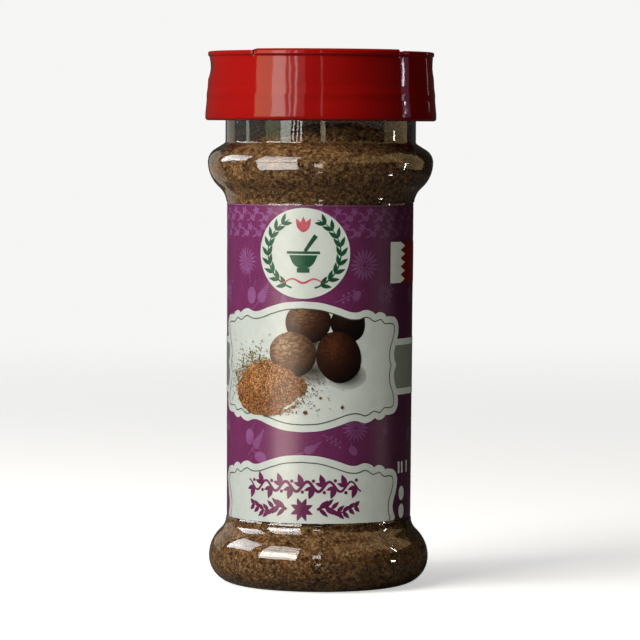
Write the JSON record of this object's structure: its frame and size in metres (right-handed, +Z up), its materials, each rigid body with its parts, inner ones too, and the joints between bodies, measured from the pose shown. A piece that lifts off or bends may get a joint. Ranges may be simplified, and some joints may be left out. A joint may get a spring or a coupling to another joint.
{
  "type": "ground nutmeg in a spice jar",
  "caption": "Ground nutmeg filling a shut, clear plastic spice jar with rounded shoulder and base, a purple printed wrap label and a glossy red cap with flaps.",
  "frame": {"origin": "middle of the jar's foot, on the surface that it stands on", "axes": "+Z up the jar to the cap; -Y towards the side that the label's picture faces; +X to the right of that side"},
  "size_m": [0.0404, 0.0404, 0.0931],
  "materials": {
    "clear_plastic": "clear glossy blown plastic",
    "ground_nutmeg": "dry brown powder with dark and light specks",
    "printed_label": "glossy printed film, purple with pale fields",
    "red_plastic": "glossy moulded red"
  },
  "bodies": {
    "root": {"jar": "clear_plastic", "nutmeg": "ground_nutmeg", "label": "printed_label", "cap": "red_plastic"}
  },
  "joints": []
}
